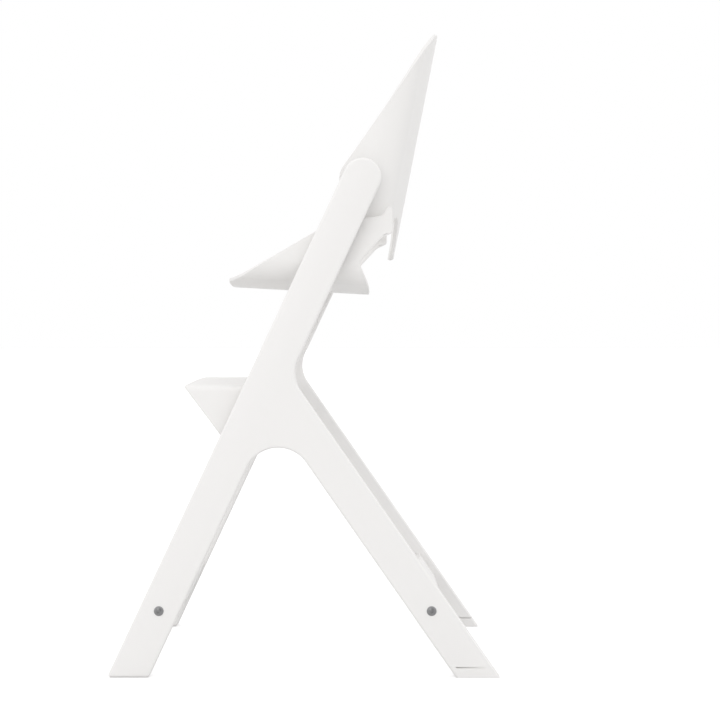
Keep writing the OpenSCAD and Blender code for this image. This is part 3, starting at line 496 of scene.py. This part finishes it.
# A strip that closes a rear foot's slit, as rings of four corners along y. For the share t of the slit's
# length its outer face lies deep + t (shallow - deep) below the board's; past the slit it ends at the board's
# middle. Its inner face lies inside + insideEnd exp(-(y - start) / fade) below the board's.
def footStrip(name, side):
    c = slitStrip
    rearHalf = leg["rearWidth"] / 2 / cosRear
    middleY = rearFootY - leg["rearBlock"] * tanRear
    start, end = middleY - rearHalf + c["land"], middleY + rearHalf - 2 * c["gap"]
    t = np.linspace(0, 1, c["rows"])
    y = np.r_[start + c["gap"] + t * (c["length"] - 2 * c["gap"]), start + c["length"] - c["gap"], end]
    outerX = np.r_[leg["outer"] - c["deep"] - t * (c["shallow"] - c["deep"]),
                   np.full(2, (leg["inner"] + leg["outer"]) / 2 - c["gap"])]
    innerX = leg["inner"] + c["inside"] + c["insideEnd"] * np.exp(-(y - start) / c["fade"])
    low, high = leg["rearBlock"] - c["height"] + c["gap"], leg["rearBlock"] - c["gap"]
    x = np.stack([innerX, outerX, outerX, innerX], -1) * side
    z = np.broadcast_to([low, low, high, high], x.shape)
    points = np.stack([x, np.repeat(y[:, None], 4, 1), z], -1)
    faces = [list(f) for f in ringFaces(len(y), 4)]
    faces += [[3, 2, 1, 0], [4 * len(y) - 4 + k for k in range(4)]]
    return closeMesh(addMesh(name, points.reshape(-1, 3), faces), c["sharp"])


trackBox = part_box("track_left")
track["middle"] = (trackBox[0].z + trackBox[1].z) / 2 / mm
trackRise = (trackBox[1].z - trackBox[0].z) / mm
track["length"] = (trackRise - track["width"] * math.sin(math.radians(leg["lean"]))) / cosLean

shells = {"seatShell": (seatShell(), "seat", "seat_shell"),
          "backShell": (backShell(), "back", "back_shell"),
          "footrestShell": (footrestShell(), "footrest", "footrest_shell")}
boards = {"sideBoardLeft": (sideFrame("sideBoardLeft", 1), "frame", "side_frame_left"),
          "sideBoardRight": (sideFrame("sideBoardRight", -1), "frame", "side_frame_right")}
strips = {"footStripLeft": (footStrip("footStripLeft", 1), "frame", None),
          "footStripRight": (footStrip("footStripRight", -1), "frame", None)}
print("stage: shells, boards and strips")


def groupSocket(tree, name, kind, into, value=None):
    socket = tree.interface.new_socket(name=name, in_out="INPUT" if into else "OUTPUT", socket_type=kind)
    if value is not None:
        socket.default_value = value


def addNode(tree, kind, at, **values):
    node = tree.nodes.new(kind)
    node.location = at
    for key, value in values.items():
        if hasattr(node, key):
            setattr(node, key, value)
        else:
            node.inputs[key].default_value = value
    return node


noises = {"drift": {"Detail": 3.0, "Roughness": 0.55}, "grain": {"Detail": 4.0, "Roughness": 0.65}}
# painted shade: the share and grey colour that darken the shells' rounded rim, standing in for the shade on
# its edges
rimPaintedShade = {"share": 0.1, "color": (0.60, 0.59, 0.58)}


# Colour and roughness that drift a little over a surface, fine texture for the bump, and painted shade, a
# slightly greyer rim where the edge mask marks the shell's rounded rim
def surfaceGroup():
    tree = bpy.data.node_groups.new("surfaceDrift", "ShaderNodeTree")
    for name, kind, value in (("Color", "NodeSocketColor", (0.8, 0.8, 0.8, 1)),
                              ("Tint", "NodeSocketColor", (0.75, 0.74, 0.72, 1)),
                              ("Drift Scale", "NodeSocketFloat", 6.0), ("Drift", "NodeSocketFloat", 0.15),
                              ("Grain Scale", "NodeSocketFloat", 900.0),
                              ("Roughness", "NodeSocketFloat", 0.4),
                              ("Roughness Drift", "NodeSocketFloat", 0.06), ("Edge", "NodeSocketFloat", 0.0),
                              ("Edge Painted Shade", "NodeSocketFloat", rimPaintedShade["share"])):
        groupSocket(tree, name, kind, True, value)
    for name, kind in (("Color", "NodeSocketColor"), ("Roughness", "NodeSocketFloat"),
                       ("Height", "NodeSocketFloat")):
        groupSocket(tree, name, kind, False)
    link = tree.links.new
    into = addNode(tree, "NodeGroupInput", (-900, 0))
    out = addNode(tree, "NodeGroupOutput", (600, 0))
    place = addNode(tree, "ShaderNodeTexCoord", (-900, -300))
    drift = addNode(tree, "ShaderNodeTexNoise", (-600, 200), **noises["drift"])
    link(place.outputs["Object"], drift.inputs["Vector"])
    link(into.outputs["Drift Scale"], drift.inputs["Scale"])
    grain = addNode(tree, "ShaderNodeTexNoise", (-600, -250), **noises["grain"])
    link(place.outputs["Object"], grain.inputs["Vector"])
    link(into.outputs["Grain Scale"], grain.inputs["Scale"])
    share = addNode(tree, "ShaderNodeMath", (-350, 200), operation="MULTIPLY")
    link(drift.outputs["Fac"], share.inputs[0])
    link(into.outputs["Drift"], share.inputs[1])
    mix = addNode(tree, "ShaderNodeMix", (-150, 200), data_type="RGBA")
    link(share.outputs[0], mix.inputs["Factor"])
    link(into.outputs["Color"], mix.inputs[6])
    link(into.outputs["Tint"], mix.inputs[7])
    # painted shade on the rim: the edge mask's share of the grey colour
    rimShadeShare = addNode(tree, "ShaderNodeMath", (-350, 0), operation="MULTIPLY")
    link(into.outputs["Edge"], rimShadeShare.inputs[0])
    link(into.outputs["Edge Painted Shade"], rimShadeShare.inputs[1])
    rimShaded = addNode(tree, "ShaderNodeMix", (100, 200), data_type="RGBA")
    rimShaded.inputs[7].default_value = (*rimPaintedShade["color"], 1)
    link(rimShadeShare.outputs[0], rimShaded.inputs["Factor"])
    link(mix.outputs[2], rimShaded.inputs[6])
    link(rimShaded.outputs[2], out.inputs["Color"])
    rough = addNode(tree, "ShaderNodeMath", (-150, -50), operation="MULTIPLY_ADD")
    link(drift.outputs["Fac"], rough.inputs[0])
    link(into.outputs["Roughness Drift"], rough.inputs[1])
    link(into.outputs["Roughness"], rough.inputs[2])
    link(rough.outputs[0], out.inputs["Roughness"])
    link(grain.outputs["Fac"], out.inputs["Height"])
    return tree


surfaceTree = surfaceGroup()

finishes = {
    "lacquer": {"color": (0.855, 0.843, 0.832), "tint": (0.815, 0.80, 0.785), "driftScale": 3.5,
                "drift": 0.25, "grainScale": 260, "roughness": 0.34, "roughDrift": 0.06, "bump": 0.012,
                "bumpSize": 0.4,
                "coat": 0.25},
    "shellPlastic": {"color": (0.85, 0.838, 0.825), "tint": (0.815, 0.802, 0.79), "driftScale": 2.5,
                     "drift": 0.2, "grainScale": 1500, "roughness": 0.44, "roughDrift": 0.05, "bump": 0.035,
                     "bumpSize": 0.12},
    "footNylon": {"color": (0.85, 0.838, 0.826), "tint": (0.80, 0.787, 0.772), "driftScale": 12, "drift": 0.3,
                  "grainScale": 1300, "roughness": 0.5, "roughDrift": 0.08, "bump": 0.05, "bumpSize": 0.15},
    "hubNylon": {"color": (0.70, 0.70, 0.70), "tint": (0.65, 0.65, 0.645), "driftScale": 14, "drift": 0.3,
                 "grainScale": 1300, "roughness": 0.45, "roughDrift": 0.08, "bump": 0.04, "bumpSize": 0.15},
    "carrierNylon": {"color": (0.09, 0.09, 0.095), "tint": (0.13, 0.13, 0.135), "driftScale": 20,
                     "drift": 0.5, "grainScale": 1200, "roughness": 0.5, "roughDrift": 0.1, "bump": 0.06,
                     "bumpSize": 0.15},
    "aluminium": {"color": (0.78, 0.79, 0.80), "tint": (0.70, 0.71, 0.72), "driftScale": 30, "drift": 0.4,
                  "grainScale": 700, "roughness": 0.30, "roughDrift": 0.12, "bump": 0.03, "bumpSize": 0.1,
                  "metal": 1.0},
    "boltSteel": {"color": (0.36, 0.36, 0.365), "tint": (0.20, 0.20, 0.205), "driftScale": 90, "drift": 0.5,
                  "grainScale": 1500, "roughness": 0.26, "roughDrift": 0.14, "bump": 0.04, "bumpSize": 0.08,
                  "metal": 1.0},
    "screwSteel": {"color": (0.50, 0.50, 0.51), "tint": (0.38, 0.37, 0.36), "driftScale": 120, "drift": 0.6,
                   "grainScale": 1500, "roughness": 0.32, "roughDrift": 0.15, "bump": 0.05, "bumpSize": 0.08,
                   "metal": 1.0},
    "brass": {"color": (0.72, 0.56, 0.30), "tint": (0.55, 0.40, 0.20), "driftScale": 80, "drift": 0.5,
              "grainScale": 1500, "roughness": 0.28, "roughDrift": 0.12, "bump": 0.04, "bumpSize": 0.08,
              "metal": 1.0},
    "beech": {"color": (0.66, 0.47, 0.30), "tint": (0.45, 0.29, 0.17), "driftScale": 60, "drift": 0.9,
              "grainScale": 500, "roughness": 0.6, "roughDrift": 0.15, "bump": 0.15, "bumpSize": 0.2},
}


coatRoughness = 0.25


def makeMaterial(name, f):
    material = bpy.data.materials.new(name)
    material.use_nodes = True
    tree = material.node_tree
    shader = tree.nodes["Principled BSDF"]
    shader.inputs["Metallic"].default_value = f.get("metal", 0.0)
    shader.inputs["Coat Weight"].default_value = f.get("coat", 0.0)
    shader.inputs["Coat Roughness"].default_value = coatRoughness
    drift = addNode(tree, "ShaderNodeGroup", (-500, 0))
    drift.node_tree = surfaceTree
    for key, value in (("Color", (*f["color"], 1)), ("Tint", (*f["tint"], 1)),
                       ("Drift Scale", f["driftScale"]), ("Drift", f["drift"]),
                       ("Grain Scale", f["grainScale"]), ("Roughness", f["roughness"]),
                       ("Roughness Drift", f["roughDrift"])):
        drift.inputs[key].default_value = value
    edge = addNode(tree, "ShaderNodeAttribute", (-750, -200), attribute_name="edge")
    bump = addNode(tree, "ShaderNodeBump", (-250, -250), Strength=f["bump"], Distance=f["bumpSize"] * mm)
    link = tree.links.new
    # the rim mask brings in the painted shade on the shells' rim
    link(edge.outputs["Fac"], drift.inputs["Edge"])
    link(drift.outputs["Color"], shader.inputs["Base Color"])
    link(drift.outputs["Roughness"], shader.inputs["Roughness"])
    link(drift.outputs["Height"], bump.inputs["Height"])
    link(bump.outputs["Normal"], shader.inputs["Normal"])
    return material


materials = {name: makeMaterial(name, f) for name, f in finishes.items()}

slotFinish = {"frame_lacquer": "lacquer", "shell_plastic": "shellPlastic", "foot_nylon": "footNylon",
              "hub_nylon": "hubNylon", "carrier_nylon": "carrierNylon", "track_aluminium": "aluminium",
              "bolt_steel": "boltSteel", "screw_steel": "screwSteel", "insert_brass": "brass",
              "dowel_beech": "beech"}
nodeSlot = {row["node"]: row["material_slot"] for row in frame["record"]["subparts"]}
for nodeName, obj in frame["nodes"].items():
    obj.data.materials.clear()
    obj.data.materials.append(materials[slotFinish[nodeSlot[nodeName]]])

for pieces, finish, slot in ((shells, "shellPlastic", "shell_plastic"), (boards, "lacquer", "frame_lacquer"),
                             (strips, "footNylon", "foot_nylon")):
    for name, (obj, body, nodeName) in pieces.items():
        obj.data.materials.clear()
        obj.data.materials.append(materials[finish])
        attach(obj, body)
        if nodeName:
            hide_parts(nodeName)
print("stage: materials")


# Sizes and places in metres, except where a name says otherwise; a lamp is its power, place and size
studio = {"floorR": 30, "floorSides": 96, "floorRings": 2, "floorDrop": 0.0002,
          "floorColor": (0.74, 0.74, 0.74), "floorLighter": 1.02,
          "floorNoise": {"Scale": 1.2, "Detail": 4.0}, "floorRoughness": 0.75,
          "floorGlow": 0.40, "skyFront": 0.99, "skyRear": 1.03, "skyTop": 1.08, "darkWall": 0.12,
          "wallFrom": 0.45, "wallFull": 0.9, "aim": (0, 0, 0.5), "lamps": [(16.0, (3.3, -1.0, 1.7), 1.8)]}


# A round floor, r from 0 to its edge and the turn from 0 to 360 degrees
def addFloor():
    sides = studio["floorSides"]
    turn = np.radians(np.linspace(0, 360, sides + 1))[:-1]
    r = np.linspace(0, studio["floorR"], studio["floorRings"] + 1)[1:] / mm
    points = np.stack([np.outer(r, np.cos(turn)), np.outer(r, np.sin(turn)), np.zeros((len(r), sides))], -1)
    faces = [list(f) for f in ringFaces(len(r), sides)] + [list(range(sides))]
    floor = closeMesh(addMesh("floor", points.reshape(-1, 3), faces))
    floor.location.z = -studio["floorDrop"]
    material = bpy.data.materials.new("floorPaint")
    material.use_nodes = True
    tree = material.node_tree
    shader = tree.nodes["Principled BSDF"]
    shader.inputs["Roughness"].default_value = studio["floorRoughness"]
    shader.inputs["Emission Strength"].default_value = studio["floorGlow"]
    # the glow shows in the picture alone and lights nothing
    seen = addNode(tree, "ShaderNodeLightPath", (-500, -300))
    tree.links.new(seen.outputs["Is Camera Ray"], shader.inputs["Emission Color"])
    noise = addNode(tree, "ShaderNodeTexNoise", (-500, 0), **studio["floorNoise"])
    ramp = addNode(tree, "ShaderNodeMix", (-250, 0), data_type="RGBA")
    place = addNode(tree, "ShaderNodeTexCoord", (-700, 0))
    ramp.inputs[6].default_value = (*studio["floorColor"], 1)
    ramp.inputs[7].default_value = (*[v * studio["floorLighter"] for v in studio["floorColor"]], 1)
    tree.links.new(place.outputs["Object"], noise.inputs["Vector"])
    tree.links.new(noise.outputs["Fac"], ramp.inputs["Factor"])
    tree.links.new(ramp.outputs[2], shader.inputs["Base Color"])
    floor.data.materials.append(material)


def addLight():
    world = bpy.data.worlds.new("studio")
    bpy.context.scene.world = world
    world.use_nodes = True
    tree = world.node_tree
    link = tree.links.new
    ground = tree.nodes["Background"]
    place = addNode(tree, "ShaderNodeTexCoord", (-900, 0))
    split = addNode(tree, "ShaderNodeSeparateXYZ", (-700, 0))
    link(place.outputs["Generated"], split.inputs[0])
    # a little darker from the chair's front, lighter from behind it and from above
    tone = addNode(tree, "ShaderNodeMapRange", (-500, 0), **{
        "From Min": -1, "From Max": 1, "To Min": studio["skyFront"], "To Max": studio["skyRear"]})
    link(split.outputs["Y"], tone.inputs["Value"])
    above = addNode(tree, "ShaderNodeMapRange", (-500, 250), **{"To Min": 1.0, "To Max": studio["skyTop"]})
    link(split.outputs["Z"], above.inputs["Value"])
    both = addNode(tree, "ShaderNodeMath", (-350, 150), operation="MULTIPLY")
    link(tone.outputs["Result"], both.inputs[0])
    link(above.outputs["Result"], both.inputs[1])
    choose = addNode(tree, "ShaderNodeMix", (-250, 0), data_type="FLOAT")
    seen = addNode(tree, "ShaderNodeLightPath", (-500, -300))
    # polished steel mirrors the dark wall behind the camera
    wall = addNode(tree, "ShaderNodeMapRange", (-500, 500), **{
        "From Min": studio["wallFrom"], "From Max": studio["wallFull"],
        "To Min": 1.0, "To Max": studio["darkWall"]})
    link(split.outputs["X"], wall.inputs["Value"])
    mirrored = addNode(tree, "ShaderNodeMix", (-350, 350), data_type="FLOAT")
    mirrored.inputs[2].default_value = 1.0
    link(wall.outputs["Result"], mirrored.inputs[3])
    total = addNode(tree, "ShaderNodeMath", (-250, 250), operation="MULTIPLY")
    link(both.outputs[0], total.inputs[0])
    link(mirrored.outputs[0], total.inputs[1])
    link(total.outputs[0], choose.inputs[2])
    link(seen.outputs["Is Camera Ray"], choose.inputs[0])
    link(seen.outputs["Is Glossy Ray"], mirrored.inputs[0])
    choose.inputs[3].default_value = 1.0
    link(choose.outputs[0], ground.inputs["Strength"])
    ground.inputs["Color"].default_value = (1, 1, 1, 1)
    for k, (energy, at, size) in enumerate(studio["lamps"]):
        data = bpy.data.lights.new(f"softbox{k + 1}", "AREA")
        data.energy, data.size = energy, size
        lamp = bpy.data.objects.new(data.name, data)
        lamp.location = at
        lamp.rotation_euler = (Vector(studio["aim"]) - lamp.location).to_track_quat("-Z", "Y").to_euler()
        bpy.context.scene.collection.objects.link(lamp)


addFloor()
addLight()
bpy.context.scene.view_settings.view_transform = "Standard"
print("stage: floor and light")
